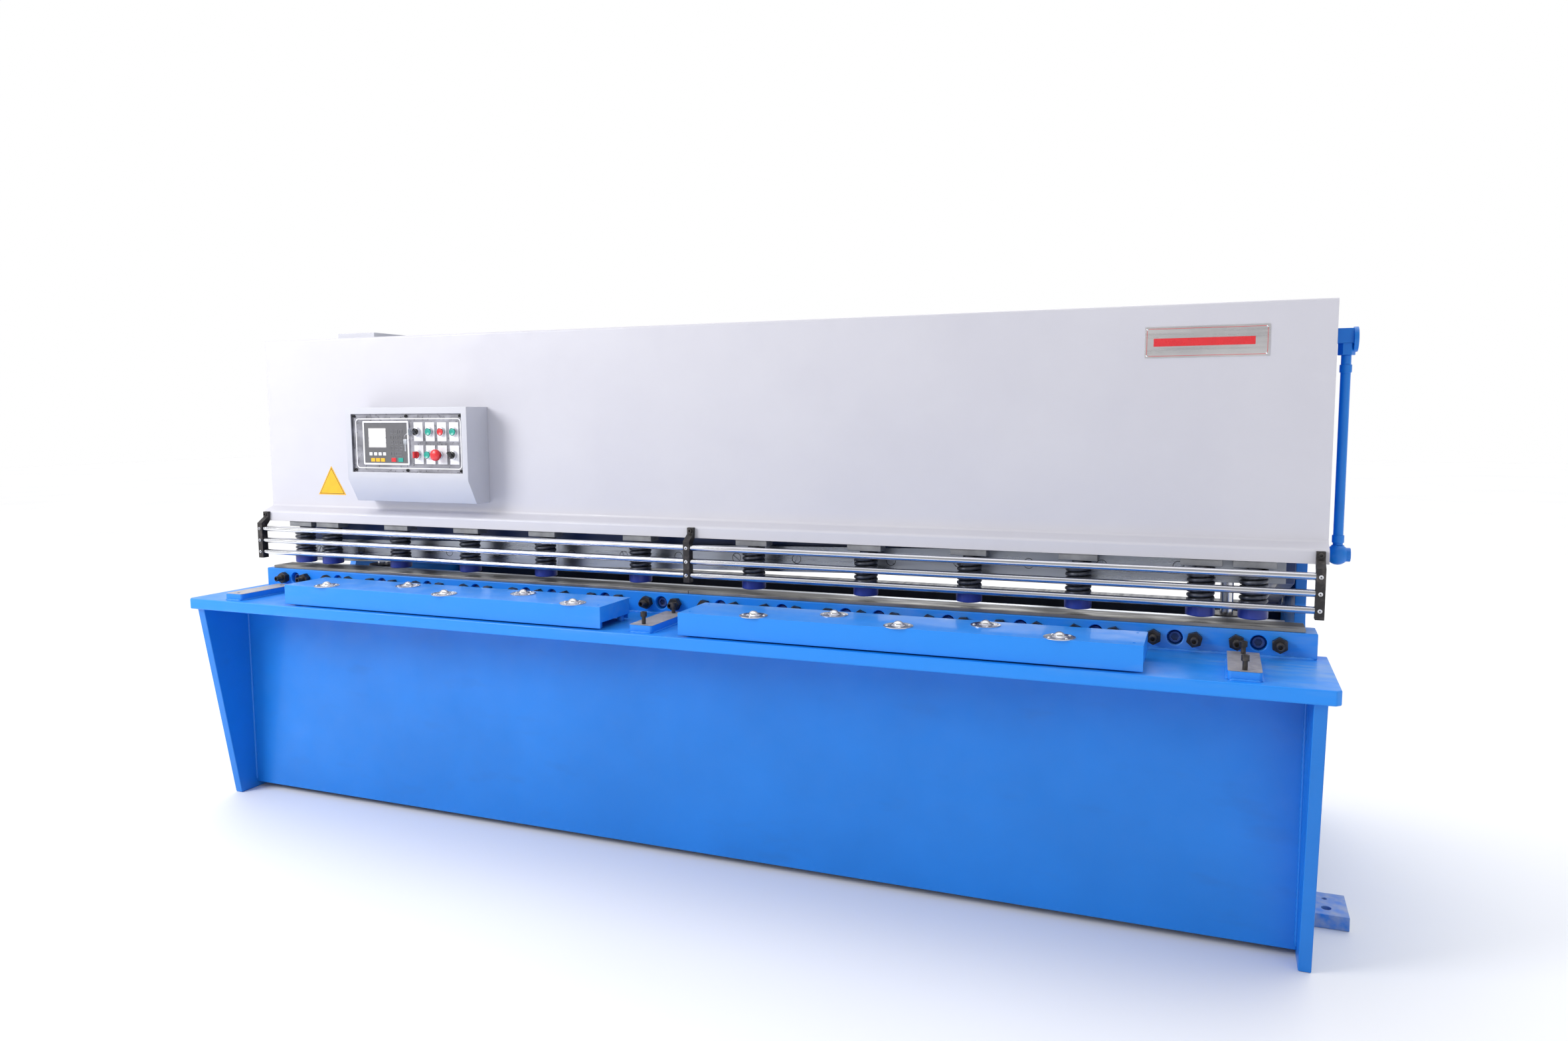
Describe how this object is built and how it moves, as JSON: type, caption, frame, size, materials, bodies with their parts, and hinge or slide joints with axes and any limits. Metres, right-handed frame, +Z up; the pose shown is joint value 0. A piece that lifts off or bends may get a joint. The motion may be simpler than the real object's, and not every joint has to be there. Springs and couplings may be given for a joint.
{
  "type": "hydraulic guillotine shear",
  "caption": "Hydraulic swing-beam guillotine shear for sheet metal with hold-downs, finger guard, ball-transfer table, console and powered back gauge.",
  "frame": {"origin": "on the floor under the middle of the machine's overall box", "axes": "+X along the machine (operator's right), +Y from the operator to the back, +Z up"},
  "size_m": [3.766, 1.676, 1.6655],
  "materials": {
    "blue_paint": "gloss",
    "grey_panel_paint": "satin",
    "box_paint": "satin",
    "foot_blue": "gloss",
    "dark_blue_paint": "satin",
    "tool_steel": "ground",
    "worn_steel": "worn",
    "machined_steel": "machined",
    "cast_grey": "rough",
    "black_oxide": "black oxide",
    "spring_steel": "oiled black",
    "chrome": "polished",
    "ball_steel": "polished",
    "bronze": "plain",
    "dark_sheet": "satin",
    "black_plastic": "matte",
    "plate_grey": "satin",
    "controller_grey": "matte",
    "bezel_white": "gloss",
    "red_plastic": "gloss",
    "green_plastic": "gloss",
    "sign_yellow": "gloss",
    "plate_aluminium": "satin",
    "motor_grey": "satin"
  },
  "bodies": {
    "frame": {"side_housing_right": "blue_paint", "side_housing_left": "blue_paint", "work_table": "blue_paint", "front_apron": "blue_paint", "bed_beam": "blue_paint", "bed_liner": "worn_steel", "lower_blades": "tool_steel", "lower_blade_bolts": "dark_blue_paint", "adjusting_screws": "black_oxide", "cross_members": "dark_sheet", "anchor_feet": "blue_paint", "rear_chute": "dark_sheet", "hold_down_beam": "dark_blue_paint", "hold_down_blocks": "cast_grey", "hold_down_springs": "spring_steel", "front_panel": "grey_panel_paint", "guard_brackets": "black_oxide", "guard_rods": "chrome", "ball_boxes": "blue_paint", "ball_sockets": "chrome", "table_pads": "blue_paint", "pad_bolts": "black_oxide", "control_box": "box_paint", "operator_plate": "plate_grey", "controller": "controller_grey", "switch_bezels": "bezel_white", "name_plate": "plate_aluminium", "safety_sign": "sign_yellow", "pivot_shafts": "machined_steel", "main_cylinders": "dark_blue_paint", "return_cylinders": "black_oxide", "oil_tank": "blue_paint", "motor_and_pump": "motor_grey", "valve_block": "machined_steel", "hydraulic_pipes": "tool_steel", "electrical_cabinet": "box_paint", "side_oil_pipe": "blue_paint"},
    "blade_beam": {"blade_beam": "dark_blue_paint", "upper_blades": "tool_steel", "upper_blade_screws": "tool_steel", "pivot_bushes": "bronze", "gauge_rails": "dark_blue_paint"},
    "back_gauge": {"back_gauge": "cast_grey"},
    "gauge_screw_left": {"gauge_screw_left": "machined_steel"},
    "gauge_screw_right": {"gauge_screw_right": "machined_steel"},
    "gauge_cross_shaft": {"gauge_cross_shaft": "machined_steel"},
    "main_piston_left": {"main_piston_left": "chrome"},
    "main_piston_right": {"main_piston_right": "chrome"},
    "return_rods": {"return_rods": "chrome"},
    "hold_down_feet": {"hold_down_feet": "foot_blue"},
    "transfer_balls_front": {"transfer_balls_front": "ball_steel"},
    "transfer_balls_back": {"transfer_balls_back": "ball_steel"},
    "key_switch": {"key_switch": "black_plastic"},
    "start_button": {"start_button": "green_plastic"},
    "stop_button": {"stop_button": "red_plastic"},
    "cycle_button": {"cycle_button": "green_plastic"},
    "red_knob": {"red_knob": "red_plastic"},
    "green_button": {"green_button": "green_plastic"},
    "emergency_stop": {"emergency_stop": "red_plastic"},
    "black_selector": {"black_selector": "black_plastic"}
  },
  "joints": [
    {"name": "beam_swing", "type": "hinge", "parent": "frame", "child": "blade_beam", "pos_m": [0, 0.48, 0.8], "axis": [1, 0, 0], "range_deg": [0, 6.6], "stiffness_Nm_per_rad": 30000, "springref_deg": -34.38},
    {"name": "piston_left_slide", "type": "slide", "parent": "frame", "child": "main_piston_left", "axis": [0, 0, -1], "range_m": [0, 0.0945]},
    {"name": "piston_right_slide", "type": "slide", "parent": "frame", "child": "main_piston_right", "axis": [0, 0, -1], "range_m": [0, 0.0945]},
    {"name": "return_rod_slide", "type": "slide", "parent": "frame", "child": "return_rods", "axis": [0, 0, -1], "range_m": [0, 0.0735]},
    {"name": "hold_down_slide", "type": "slide", "parent": "frame", "child": "hold_down_feet", "axis": [0, 0, -1], "range_m": [0, 0.014], "stiffness_N_per_m": 40000, "springref_m": -0.02, "deforming": ["hold_down_springs"]},
    {"name": "gauge_slide", "type": "slide", "parent": "blade_beam", "child": "back_gauge", "axis": [0, 0.998, -0.0628], "range_m": [-0.47, 0]},
    {"name": "gauge_screw_left_turn", "type": "hinge", "parent": "blade_beam", "child": "gauge_screw_left", "pos_m": [-1.033, 0.20777, 0.93235], "axis": [0, 0.998, -0.0628], "range_deg": [0, 17000]},
    {"name": "gauge_screw_right_turn", "type": "hinge", "parent": "blade_beam", "child": "gauge_screw_right", "pos_m": [1.033, 0.20777, 0.93235], "axis": [0, 0.998, -0.0628], "range_deg": [0, 17000]},
    {"name": "gauge_cross_shaft_turn", "type": "hinge", "parent": "blade_beam", "child": "gauge_cross_shaft", "pos_m": [0, 0.78763, 0.89587], "axis": [1, 0, 0], "range_deg": [-17000, 0]},
    {"name": "front_balls_roll", "type": "hinge", "parent": "frame", "child": "transfer_balls_front", "pos_m": [0, -0.793, 0.803], "axis": [1, 0, 0], "continuous": true},
    {"name": "back_balls_roll", "type": "hinge", "parent": "frame", "child": "transfer_balls_back", "pos_m": [0, -0.702, 0.803], "axis": [1, 0, 0], "continuous": true},
    {"name": "start_button_push", "type": "slide", "parent": "frame", "child": "start_button", "axis": [0, 1, 0], "range_m": [0, 0.004], "stiffness_N_per_m": 400, "springref_m": -0.002},
    {"name": "stop_button_push", "type": "slide", "parent": "frame", "child": "stop_button", "axis": [0, 1, 0], "range_m": [0, 0.004], "stiffness_N_per_m": 400, "springref_m": -0.002},
    {"name": "cycle_button_push", "type": "slide", "parent": "frame", "child": "cycle_button", "axis": [0, 1, 0], "range_m": [0, 0.004], "stiffness_N_per_m": 400, "springref_m": -0.002},
    {"name": "green_button_push", "type": "slide", "parent": "frame", "child": "green_button", "axis": [0, 1, 0], "range_m": [0, 0.004], "stiffness_N_per_m": 400, "springref_m": -0.002},
    {"name": "emergency_stop_push", "type": "slide", "parent": "frame", "child": "emergency_stop", "axis": [0, 1, 0], "range_m": [0, 0.005]},
    {"name": "key_switch_turn", "type": "hinge", "parent": "frame", "child": "key_switch", "pos_m": [-1.007, -0.56, 1.311], "axis": [0, 1, 0], "range_deg": [0, 90]},
    {"name": "red_knob_turn", "type": "hinge", "parent": "frame", "child": "red_knob", "pos_m": [-1.005, -0.56, 1.233], "axis": [0, 1, 0], "range_deg": [0, 90]},
    {"name": "black_selector_turn", "type": "hinge", "parent": "frame", "child": "black_selector", "pos_m": [-0.857, -0.56, 1.233], "axis": [0, 1, 0], "range_deg": [-45, 45]}
  ],
  "couplings": [
    {"joint": "piston_left_slide", "follows": "beam_swing", "m_per_rad": 0.8127},
    {"joint": "piston_right_slide", "follows": "beam_swing", "m_per_rad": 0.8127},
    {"joint": "return_rod_slide", "follows": "beam_swing", "m_per_rad": 0.6311},
    {"joint": "gauge_screw_left_turn", "follows": "gauge_slide", "rad_per_m": -628.32},
    {"joint": "gauge_screw_right_turn", "follows": "gauge_slide", "rad_per_m": -628.32},
    {"joint": "gauge_cross_shaft_turn", "follows": "gauge_slide", "rad_per_m": 628.32}
  ]
}
